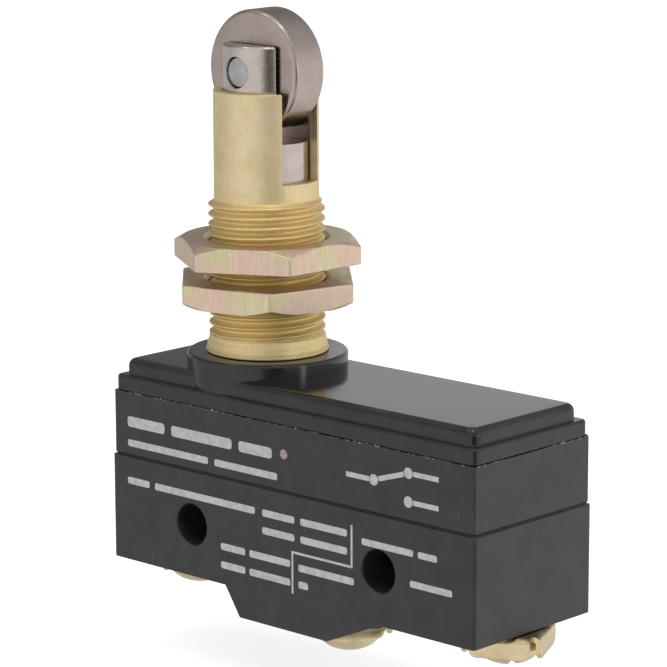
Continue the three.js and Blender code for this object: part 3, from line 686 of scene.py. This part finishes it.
def make_cover():
    seam = PARTING_Z + 0.04
    foot = 0.10                  # the fillet between the rim and the plateau
    under, over = 3.0, 3.5       # the insets at which the flat faces below and above close
    outside = rounded([
        (under, seam), (RIM_INSET, seam, 0.12), (RIM_INSET, RIM_TOP_Z, 0.34),
        (PLATEAU_INSET, RIM_TOP_Z - 0.04, foot), (PLATEAU_INSET, PLATEAU_TOP_Z, 0.8),
        (over, PLATEAU_TOP_Z),
    ], 7)
    rings = []
    for inset, z in outside:
        on_rim = inset < PLATEAU_INSET - foot - 0.01
        outer = RIM_CORNER + RIM_INSET if on_rim else PLATEAU_CORNER + PLATEAU_INSET
        rings.append(plan_ring(inset, max(outer - inset, LEAST_CORNER), z, 9))
    cover = loft("cover_shell", rings)
    root = RIM_TOP_Z - 0.5
    boss = rounded([
        (0, root), (BOSS_RADIUS, root), (BOSS_RADIUS, BOSS_TOP_Z, 0.32), (0, BOSS_TOP_Z),
    ], 6)
    join(cover, turned("tool", boss, 160))
    gap = WALL + 2 * FIT
    join(cover, block(gap, LENGTH - gap, gap, WIDTH - gap, LIP_BASE_Z, root))
    far, ceiling = gap + 1, root - 0.3
    hollow = block(far, LENGTH - far, far, WIDTH - far, LIP_BASE_Z - 1, ceiling)
    hub = turned("tool", [(0, LIP_BASE_Z - 2), (HUB_RADIUS, LIP_BASE_Z - 2), (HUB_RADIUS, root + 1),
                          (0, root + 1)], 96)
    cut(hollow, hub)
    cut(
        cover,
        hollow,
        turned("tool", [(0, LIP_BASE_Z - 1), (FLANGE_RADIUS + FIT, LIP_BASE_Z - 1),
                        (FLANGE_RADIUS + FIT, FLANGE_TOP_Z + FIT), (0, FLANGE_TOP_Z + FIT)], 96),
        turned("tool", [(0, LIP_BASE_Z), (NECK_RADIUS + FIT, LIP_BASE_Z),
                        (NECK_RADIUS + FIT, BOSS_TOP_Z + 1), (0, BOSS_TOP_Z + 1)], 96),
    )
    shade(cover)
    dress(cover, "root", "cover_phenolic", "cover")


def make_flash():
    """A thin ragged ridge of moulding flash where the cover meets the case."""
    random = np.random.default_rng(7)
    step, window = 0.16, 25
    path = []
    loop = plan_ring(STEP_INSET, CORNER_RADIUS - STEP_INSET, 0, 5)
    for i, point in enumerate(loop):
        start, end = np.array(point), np.array(loop[(i + 1) % len(loop)])
        count = max(1, int(np.linalg.norm(end - start) / step))
        path += [start + (end - start) * k / count for k in range(count)]
    path = np.array(path)
    count = len(path)
    ahead = np.roll(path, -1, 0) - np.roll(path, 1, 0)
    inward = np.stack([-ahead[:, 1], ahead[:, 0]], 1) / np.linalg.norm(ahead, axis=1)[:, None]
    rough = random.random(count)
    slow = np.convolve(np.tile(random.random(count), 3), np.ones(window) / window, "same")
    slow = slow[count:2 * count]
    least, most = 0.02, 0.19     # the ridge's height
    height = least + (most - least) * rough * ease(slow, 0.42, 0.54)
    depth = 0.07 + 0.05 * random.random(count)
    rings = []
    base = PARTING_Z - 0.08
    for p, n, h, d in zip(path, inward, height, depth):
        corner = lambda inset, z: (p[0] + n[0] * inset, p[1] + n[1] * inset, z)
        rings.append([corner(0.01, base), corner(0.0, PARTING_Z + h * 0.5), corner(0.03, PARTING_Z + h),
                      corner(d, PARTING_Z + h * 0.6), corner(d + 0.05, base)])
    flash = loft("parting_flash", rings, closed=True)
    shade(flash, 40)
    dress(flash, "root", "case_phenolic", material=flash_plastic())


# ---------------------------------------------------------------- printed marks
INK = 0.012          # how far the ink stands off the face


def mark(outline, face_y):
    """The vertices and faces of a flat mark on a side face, from an (x, z) outline."""
    count = len(outline)
    verts = [(x, face_y + 0.02, z) for x, z in outline] + [(x, face_y - INK, z) for x, z in outline]
    faces = [tuple(range(count)), tuple(reversed(range(count, 2 * count)))]
    faces += [(i, (i + 1) % count, count + (i + 1) % count, count + i) for i in range(count)]
    return verts, faces


def bar(x0, x1, z0, z1, radius=0.12):
    corners = [(x0, z0, radius), (x1, z0, radius), (x1, z1, radius), (x0, z1, radius)]
    return rounded(corners, 3, closed=True)


def disc(x, z, radius, count=28):
    turn = [2 * math.pi * i / count for i in range(count)]
    return [(x + radius * math.cos(a), z + radius * math.sin(a)) for a in turn]


def stroke(x0, z0, x1, z1, width):
    """A straight line of ink between two points."""
    along = np.array([x1 - x0, z1 - z0], float)
    side = np.array([-along[1], along[0]]) / np.linalg.norm(along) * width / 2
    a, b = np.array([x0, z0]), np.array([x1, z1])
    return [tuple(a - side), tuple(b - side), tuple(b + side), tuple(a + side)]


def words(x, z, lengths, height, gap):
    """A row of bars that stand for words, all of one height."""
    made = []
    for length in lengths:
        made.append(bar(x, x + length, z, z + height, height * 0.3))
        x += length + gap
    return made


def print_marks(name, marks, face_y, material):
    verts, faces = [], []
    for outline in marks:
        more, sides = mark(outline, face_y)
        faces += [tuple(i + len(verts) for i in side) for side in sides]
        verts += more
    dress(build(name, verts, faces), "root", "case_phenolic", material=material)


# rows of bars: the left end, the height above the case's corner, the bars' lengths, how tall
# they are and the gap between them
UPPER_ROWS = (
    (2.2, 14.05, (5.4, 8.6, 4.6), 1.1, 0.95),
    (2.2, 12.0, (11.6, 8.7), 0.72, 0.9),
)
LOWER_ROWS = (
    (2.3, 8.1, (3.2, 14.2), 0.72, 0.8),
    (21.5, 8.1, (4.4, 6.2), 0.72, 0.8),
    (21.5, 6.3, (4.4, 6.2), 0.72, 0.8),
    (15.7, 3.6, (3.4, 5.6), 0.72, 0.6),
    (15.7, 1.7, (3.4, 5.6), 0.72, 0.6),
    (26.4, 3.4, (7.4,), 0.72, 0.5),
    (26.4, 1.7, (1.3,), 0.72, 0.5),
    (34.8, 7.7, (6.6, 2.4), 0.66, 0.6),
    (41.0, 4.7, (5.3,), 0.66, 0.5),
)
# the plain lines that part the rows, end to end
PARTING_LINES = ((33.5, 9.4, 33.5, 5.1), (33.36, 5.2, 25.74, 5.2), (25.6, 5.32, 25.6, 1.0))
PARTING_LINE_WIDTH = 0.24


def contact_drawing(x, z, line=0.5, dot=0.55):
    """Two fixed contacts, a moving arm and its pivot, as discs and strokes."""
    pivot, contact, lead, rise = x + 3.6, x + 8.0, 3.2, 1.4
    made = [disc(pivot, z, dot), disc(contact, z + rise, dot), disc(contact, z - rise, dot)]
    made += [stroke(x, z, pivot - 0.6, z, line)]
    made += [stroke(pivot + 0.6, z + 0.2, contact - 0.6, z + rise - 0.2, line)]
    for level in (z + rise, z - rise):
        made += [stroke(contact + 0.6, level, contact + 0.6 + lead, level, line)]
    return made


def make_print():
    """Plain bars where a maker prints words, and a changeover contact as a drawing."""
    ink = print_ink()
    upper = sum((words(*row) for row in UPPER_ROWS), []) + contact_drawing(32.6, 14.3)
    print_marks("print_upper", upper, STEP_INSET, ink)
    lower = sum((words(*row) for row in LOWER_ROWS), [])
    lower += [stroke(*ends, PARTING_LINE_WIDTH) for ends in PARTING_LINES]
    print_marks("print_lower", lower, 0, ink)
    print_marks("print_dot", [disc(24.3, 14.8, 0.5)], STEP_INSET, red_ink())


# ---------------------------------------------------------------- bushing and nuts
SHOULDER_TOP_Z = 22.95      # where the shoulder starts to narrow into the thread
CONE_Z = 24.1               # where it narrows faster
CONE_END_Z = 24.9
PITCH = 1.0
RUN_OUT = 0.75              # the height over which the ridge fades at the top
BASE_RADIUS = 4.6           # the wide opening under the plunger's seat


def thread_radius(angle, z):
    """The radius of the threaded stretch: a right-hand ridge that runs out at both ends."""
    turn = ((z - THREAD_START_Z) / PITCH - angle / (2 * math.pi)) % 1.0
    ridge = ease(0.97 - np.abs(turn - 0.5) * 2, 0.0, 0.94)
    fade = 1 - ease(z + 0.12 * np.sin(angle), THREAD_END_Z - RUN_OUT, THREAD_END_Z - 0.1)
    narrow = 1 - ease(z, THREAD_END_Z - 0.5, THREAD_END_Z)
    root = TUBE_RADIUS + (THREAD_ROOT - TUBE_RADIUS) * narrow
    thread = root + (THREAD_CREST - THREAD_ROOT) * ridge * fade
    cone = SHOULDER_RADIUS - 0.24 * ease(z, SHOULDER_TOP_Z, CONE_Z) - 0.6 * ease(z, CONE_Z, CONE_END_Z)
    return np.maximum(thread, cone + 0.05 * ridge * ease(z, SHOULDER_TOP_Z, CONE_Z - 0.5))


def make_bushing():
    segments = 144
    ledge_z = BOSS_TOP_Z + FIT
    ledge_radius = SHOULDER_RADIUS + 0.1
    stem_bore = STEM_RADIUS + 0.1
    lower = rounded([
        (BASE_RADIUS, BUSHING_BASE_Z), (FLANGE_RADIUS, BUSHING_BASE_Z, 0.1),
        (FLANGE_RADIUS, FLANGE_TOP_Z, 0.1), (NECK_RADIUS, FLANGE_TOP_Z), (NECK_RADIUS, ledge_z),
        (ledge_radius, ledge_z, 0.06), (ledge_radius, BOSS_TOP_Z + 0.25, 0.08),
        (SHOULDER_RADIUS, BOSS_TOP_Z + 0.35, 0.1), (SHOULDER_RADIUS, SHOULDER_TOP_Z),
    ])
    upper = rounded([
        (TUBE_RADIUS, THREAD_END_Z + 0.1), (TUBE_RADIUS, TUBE_TOP_Z, 0.14),
        (BORE_RADIUS, TUBE_TOP_Z, 0.14), (BORE_RADIUS, SEAT_Z, 0.2), (stem_bore, SEAT_Z, 0.1),
        (stem_bore, SEAT_BASE_Z, 0.1), (BASE_RADIUS, SEAT_BASE_Z), (BASE_RADIUS, BUSHING_BASE_Z),
    ])[:-1]
    rings = [circle(r, z, segments) for r, z in lower]
    angle = np.arange(segments) * 2 * math.pi / segments
    for z in np.arange(SHOULDER_TOP_Z + 0.05, THREAD_END_Z + 0.05, PITCH / 16):
        rings.append(circle(thread_radius(angle, z), z, segments))
    rings += [circle(r, z, segments) for r, z in upper]
    bushing = loft("threaded_bushing", rings, closed=True)
    reach = 8
    cut(bushing, block(AXIS_X - reach, AXIS_X + reach, MID_Y - SLOT_HALF, MID_Y + SLOT_HALF, SLOT_Z,
                       TUBE_TOP_Z + 1))
    near = 0.01
    in_slot = lambda p: p.z > SLOT_Z - near and abs(p.y - MID_Y) < SLOT_HALF + near
    soften(bushing, 0.07, in_slot, angle=50, segments=2)
    shade(bushing, 38)
    dress(bushing, "root", "bushing_brass", "bushing")


def make_nut(node, turn, chamfer_up):
    """A hexagonal nut with the corners of one face chamfered at 30 degrees."""
    z0, z1 = span(node)[0].z, span(node)[1].z
    flat = 8.5           # half the width across flats
    bore = 5.95
    sink = 0.45          # the countersink at both ends of the bore
    segments = 360
    angle = np.arange(segments) * 2 * math.pi / segments
    around = angle - math.radians(turn + 30)
    sides = [flat / np.maximum(np.cos(around - math.radians(60 * i)), 0.2) for i in range(6)]
    hexagon = sides[0]
    for side in sides[1:]:
        hexagon = smaller(hexagon, side, 0.2)
    rings = [circle(bore, z0 + sink, segments), circle(bore + sink, z0, segments)]
    edge = 0.12          # the rounding of the other face's edge
    start = 0.03 if chamfer_up else 0.28
    for t in np.linspace(0, 1, 34):
        z = z0 + (z1 - z0) * t
        drop = (z1 - z) if chamfer_up else (z - z0)
        other = (z - z0) if chamfer_up else (z1 - z)
        radius = smaller(hexagon, np.full(segments, flat + start + drop * math.sqrt(3)), 0.10)
        if other < edge:
            radius = radius - edge * (1 - math.sqrt(max(0, 1 - (1 - other / edge) ** 2)))
        rings.append(circle(radius, z, segments))
    rings += [circle(bore + sink, z1, segments), circle(bore, z1 - sink, segments)]
    nut = loft(node + "_hex", rings, closed=True)
    shade(nut, 30)
    dress(nut, node, "nut_zinc", node)


# ---------------------------------------------------------------- plunger, roller and springs
def make_plunger():
    bore, bore_top, mouth = 1.9, 38.0, 1.25
    floor_z = STEM_BASE_Z + 1
    groove = 2.1
    ring0, ring1 = span("retaining_ring")[0].z - FIT, span("retaining_ring")[1].z + FIT
    eye, reach = PIN_RADIUS + 0.07, 6
    profile = rounded([
        (0, bore_top), (bore, bore_top), (bore, floor_z), (mouth, floor_z),
        (mouth, STEM_BASE_Z), (STEM_RADIUS, STEM_BASE_Z, 0.15), (STEM_RADIUS, ring0), (groove, ring0),
        (groove, ring1), (STEM_RADIUS, ring1), (STEM_RADIUS, STEM_TOP_Z),
        (PLUNGER_RADIUS, STEM_TOP_Z, 0.2), (PLUNGER_RADIUS, PLUNGER_TOP_Z, 0.28), (0, PLUNGER_TOP_Z),
    ])
    plunger = turned("forked_plunger", profile, 128)
    cut(
        plunger,
        block(AXIS_X - reach, AXIS_X + reach, MID_Y - FORK_HALF, MID_Y + FORK_HALF, FORK_FLOOR_Z,
              PLUNGER_TOP_Z + 1),
        turned_y("tool", [(0, -reach), (eye, -reach), (eye, reach), (0, reach)],
                 AXIS_X, MID_Y, ROLLER.z, 64),
    )
    soften(plunger, 0.10, lambda p: p.z > FORK_FLOOR_Z - 0.1, angle=50)
    shade(plunger, 38)
    dress(plunger, "plunger", "plunger_nickel", "plunger")


def make_roller():
    bore = PIN_RADIUS + 0.06
    half, rim = ROLLER_HALF, 0.52
    profile = rounded([
        (bore, -half, 0.06), (ROLLER_RADIUS, -half, rim), (ROLLER_RADIUS, half, rim), (bore, half, 0.06),
    ], 9, closed=True)
    roller = turned_y("roller_wheel", profile, AXIS_X, ROLLER.y, ROLLER.z, 200, closed=True)
    shade(roller, 40)
    dress(roller, "roller", "roller_nickel", "roller")


def make_pin():
    profile = rounded([
        (0, -PIN_HALF), (PIN_RADIUS, -PIN_HALF, 0.16), (PIN_RADIUS, PIN_HALF, 0.16), (0, PIN_HALF),
    ], 6)
    pin = turned_y("axle_pin", profile, AXIS_X, MID_Y, ROLLER.z, 64)
    shade(pin, 40)
    dress(pin, "plunger", "pin_steel", "roller_pin")


def coil(name, mean, wire, z0, z1, turns):
    """A compression spring of a mean radius and a wire radius, with its ends closed."""
    steps = 40 * turns
    shut = 0.8           # the turns at each end that lie closed
    rings = []
    for i in range(steps + 1):
        t = i / steps * turns
        rise = np.clip((t - shut) / (turns - 2 * shut), 0, 1)
        z = z0 + 2 * wire + (z1 - z0 - 4 * wire) * rise
        z += wire * (min(t, shut) / shut - 1) + wire * (max(t - turns + shut, 0) / shut)
        a = 2 * math.pi * t
        out = np.array([math.cos(a), math.sin(a), 0])
        centre = np.array([AXIS_X, MID_Y, z]) + out * mean
        rings.append([centre + wire * (math.cos(b) * out + math.sin(b) * np.array([0, 0, 1]))
                      for b in np.arange(10) * 2 * math.pi / 10])
    spring = loft(name, rings)
    shade(spring, 50)
    return spring


def make_springs():
    """The return spring takes up the plunger's travel, the inner one what the button leaves of it. Each is coiled
    to its CAD node's length, and the travel worked out for it is not used.
    """
    slide = next(j for j in frame["joints"] if j["name"] == "plunger_slide")
    travel = slide["range_m"][1] / MM
    couplings = frame["record"]["behaviour"]["couplings"]
    sink = travel * next(c["ratio"] for c in couplings if c["joint"] == "button_slide")
    for name, node, body, mean, wire, turns, given in (
        ("return_coil", "return_spring", "root", 3.45, 0.35, 6, travel),
        ("overtravel_coil", "overtravel_spring", "button", 1.45, 0.22, 8, travel - sink),
    ):
        low, high = span(node)
        spring = coil(name, mean, wire, low.z, high.z, turns)
        dress(spring, body, "spring_steel", node)
        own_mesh(spring)


# ---------------------------------------------------------------- terminal screws and washers
def make_washer(key):
    """A square cup washer: a plate with a lip folded down on each side, and open corners."""
    side, sheet, corner, fold = 3.95, 0.5, 0.9, 0.75
    x, z = middle("terminal_screw_" + key).x, plate_z(key) - FIT
    end = side - corner
    washer = loft("cup_washer_" + key, [
        [(p[0], p[1], h) for p in rounded(
            [(-end, -end, 0.4), (end, -end, 0.4), (end, end, 0.4), (-end, end, 0.4)], 3, closed=True)]
        for h in (-sheet, 0)])
    lips = []
    bend, rise = 0.72, 0.9       # the lip's lower edge curves up from here, by this much at its ends
    for quarter in range(4):
        rings = []
        for u in np.linspace(-1, 1, 25):
            past = max(0, (abs(u) - bend) / (1 - bend))
            low = rise * (1 - math.sqrt(max(0, 1 - past ** 2))) - WASHER_DROP[key]
            section = rounded([
                (0, 0), (side, 0, fold), (side, low, 0.16), (side - sheet, low, 0.16),
                (side - sheet, -sheet, fold - sheet), (0, -sheet),
            ], 4)
            rings.append([(p[0], u * end, p[1]) for p in section])
        lip = loft("tool", rings)
        lips.append(moved(lip, Matrix.Rotation(math.radians(90 * quarter), 4, "Z")))
    join(washer, *lips)
    hole, reach = SCREW_SHANK + 0.15, 5
    through = [(0, -reach), (hole, -reach), (hole, reach), (0, reach)]
    cut(washer, turned("tool", through, 48, x=0, y=0))
    turn = Matrix.Rotation(math.radians(WASHER_TURN[key]), 4, "Z")
    moved(washer, Matrix.Translation((x, MID_Y, z)) @ turn)
    shade(washer, 36)
    dress(washer, "screw_" + key, "screw_brass", "terminal_washer_" + key)


def make_screw(key):
    """A domed screw with a straight slot."""
    head, rim_z, dome_z, tip = 3.3, -0.6, -1.6, -3.66
    shank_top = 5.2
    slot_half, slot_depth, reach = 0.5, 1.3, 6
    x, z = middle("terminal_screw_" + key).x, plate_z(key)
    steps = 12
    dome = [(0, tip)]
    for i in range(1, steps + 1):
        a = math.pi / 2 * i / steps
        dome.append((head * math.sin(a), dome_z + (tip - dome_z) * math.cos(a)))
    profile = dome[:-1] + rounded([
        dome[-1], (head, rim_z, 0.15), (SCREW_SHANK, rim_z), (SCREW_SHANK, shank_top, 0.35),
        (0, shank_top),
    ], 4)
    screw = turned("slotted_screw_" + key, profile, 96, x=0, y=0)
    cut(screw, block(-reach, reach, -slot_half, slot_half, tip - 1, tip + slot_depth))
    turn = Matrix.Rotation(math.radians(SLOT_TURN[key]), 4, "Z")
    moved(screw, Matrix.Translation((x, MID_Y, z)) @ turn)
    shade(screw, 36)
    dress(screw, "screw_" + key, "screw_brass", "terminal_screw_" + key)


# ---------------------------------------------------------------- studio
AIM_Z = 25           # the height that the lights and cards are turned to


def look_from(azimuth, elevation):
    """The direction from the object towards a point of view, in degrees."""
    a, e = math.radians(azimuth), math.radians(elevation)
    return Vector((math.sin(a) * math.cos(e), -math.cos(a) * math.cos(e), math.sin(e)))


def make_camera():
    azimuth, elevation, distance, roll = 43.12, 11.83, 317.84, -0.184
    focal_length = 173.3
    target = metres(23.06, MID_Y, 25.34)
    back = look_from(azimuth, elevation)
    right = Vector((0, 0, 1)).cross(back).normalized()
    up = back.cross(right)
    c, s = math.cos(math.radians(roll)), math.sin(math.radians(roll))
    right, up = right * c + up * s, up * c - right * s
    data = bpy.data.cameras.new("camera")
    data.lens = focal_length
    data.sensor_width = 36
    data.clip_start = 0.01
    data.clip_end = 20
    camera = bpy.data.objects.new("camera", data)
    place = target + back * distance * MM
    camera.matrix_world = Matrix((
        (right.x, up.x, back.x, place.x),
        (right.y, up.y, back.y, place.y),
        (right.z, up.z, back.z, place.z),
        (0, 0, 0, 1),
    ))
    bpy.context.scene.collection.objects.link(camera)
    bpy.context.scene.camera = camera


def make_floor():
    gap, reach, thickness = 3.0, 3000, 5
    z = min(span("terminal_screw_no")[0].z, 0) - gap
    floor = block(-reach, reach, -reach, reach, z - thickness, z, "floor")
    f = Finish("floor_paper")
    cloud = f.noise(f.stretched(0.01, 0.01, 0.01), 3, 0.5)
    f.fix(Base_Color=f.mix(cloud, grey(0.48), grey(0.52)), Roughness=0.9)
    f.fix(Specular_IOR_Level=0.1, Emission_Color=grey(1), Emission_Strength=0.76)
    floor.data.materials.append(f.material)
    # the object is lit and mirrored by the studio's own tones, so only the view sees the floor
    floor.visible_diffuse = False
    floor.visible_glossy = False
    floor.visible_shadow = False


def aim_at_object(obj, azimuth, elevation, distance):
    """Links the object and turns it to the switch, from a direction and a distance in millimetres."""
    toward = look_from(azimuth, elevation)
    obj.location = metres(LENGTH / 2, MID_Y, AIM_Z) + toward * distance * MM
    obj.rotation_euler = toward.to_track_quat("Z", "Y").to_euler()
    bpy.context.scene.collection.objects.link(obj)


def area_light(name, azimuth, elevation, distance, size, power, tint=(1, 1, 1)):
    """A soft square box, its power in watts, that reflections don't see."""
    data = bpy.data.lights.new(name, "AREA")
    data.shape = "RECTANGLE"
    data.size = data.size_y = size * MM
    data.energy = power
    data.color = tint
    lamp = bpy.data.objects.new(name, data)
    aim_at_object(lamp, azimuth, elevation, distance)
    lamp.visible_glossy = False


def card(name, azimuth, elevation, distance, width, height, brightness):
    """A flat card that only reflections see."""
    half_w, half_h = width / 2, height / 2
    mesh = bpy.data.meshes.new(name)
    corners = [(-half_w, -half_h), (half_w, -half_h), (half_w, half_h), (-half_w, half_h)]
    mesh.from_pydata([(x * MM, y * MM, 0) for x, y in corners], [], [(0, 1, 2, 3)])
    obj = bpy.data.objects.new(name, mesh)
    aim_at_object(obj, azimuth, elevation, distance)
    material = bpy.data.materials.new(name)
    material.use_nodes = True
    nodes, links = material.node_tree.nodes, material.node_tree.links
    nodes.clear()
    glow = nodes.new("ShaderNodeEmission")
    glow.inputs["Strength"].default_value = brightness
    links.new(glow.outputs[0], nodes.new("ShaderNodeOutputMaterial").inputs[0])
    mesh.materials.append(material)
    obj.visible_camera = False
    obj.visible_diffuse = False
    obj.visible_shadow = False
    obj.visible_transmission = False


# The studio that light and reflections come from: an even tone, and broad lobes that add to it
# or take from it. Each lobe is an azimuth, an elevation, the angle at which it has faded out
# and its gain.
EVEN_TONE = 0.60
LOBES = (
    (0, -14, 62, 0.30),         # the lit floor in front
    (52, -10, 22, -0.55),       # the dark round the camera
    (137, -14, 70, 0.36),       # the lit floor to the right
    (20, 88, 60, 0.42),         # overhead
    (-107, 46, 60, -0.34),      # the dark upper left
    (164, 42, 45, -0.20),       # the dark high behind, to the right
    (223, 12, 30, -0.18),       # the dark that the level top mirrors
)


def make_world():
    world = bpy.data.worlds.new("studio")
    bpy.context.scene.world = world
    world.use_nodes = True
    nodes, links = world.node_tree.nodes, world.node_tree.links
    direction = nodes.new("ShaderNodeTexCoord").outputs["Generated"]
    tone = nodes.new("ShaderNodeValue").outputs[0]
    tone.default_value = EVEN_TONE
    for azimuth, elevation, reach, gain in LOBES:
        toward = nodes.new("ShaderNodeVectorMath")
        toward.operation = "DOT_PRODUCT"
        links.new(direction, toward.inputs[0])
        toward.inputs[1].default_value = look_from(azimuth, elevation)
        lobe = nodes.new("ShaderNodeMapRange")
        lobe.interpolation_type = "SMOOTHSTEP"
        links.new(toward.outputs["Value"], lobe.inputs["Value"])
        lobe.inputs["From Min"].default_value = math.cos(math.radians(reach))
        lobe.inputs["To Max"].default_value = gain
        total = nodes.new("ShaderNodeMath")
        links.new(tone, total.inputs[0])
        links.new(lobe.outputs[0], total.inputs[1])
        tone = total.outputs[0]
    # the camera itself sees plain white, and everything else sees the tone
    seen = nodes.new("ShaderNodeMix")
    links.new(nodes.new("ShaderNodeLightPath").outputs["Is Camera Ray"], seen.inputs[0])
    links.new(tone, seen.inputs[2])
    seen.inputs[3].default_value = 1.0
    back = nodes["Background"]
    links.new(seen.outputs[0], back.inputs["Strength"])
    back.inputs["Color"].default_value = (1, 1, 1, 1)


def make_light():
    bpy.context.scene.view_settings.view_transform = "Standard"
    make_world()
    area_light("key", 100, 35, 600, 400, 1.3, (0.95, 0.95, 1.0))
    area_light("top", 0, 80, 600, 500, 1.3)
    card("back_card", 212, 12, 150, 62, 70, 0.76)
    card("side_card", 95, 9, 260, 34, 60, 4.5)
    card("spot_card", -51, 60, 300, 40, 30, 5.0)
    card("overhead_card", 54, 78, 300, 50, 34, 9.0)


make_case()
make_cover()
make_flash()
make_print()
make_bushing()
make_nut("lower_nut", 15, False)
make_nut("upper_nut", 28, True)
make_plunger()
make_roller()
make_pin()
make_springs()
for key in TERMINALS:
    make_washer(key)
    make_screw(key)

slots = {s["node"]: s["material_slot"] for s in frame["record"]["subparts"]}
for node, obj in frame["nodes"].items():
    if not obj.hide_render:
        for material_slot in obj.material_slots:
            material_slot.material = MATERIALS[slots[node]]

make_camera()
make_floor()
make_light()
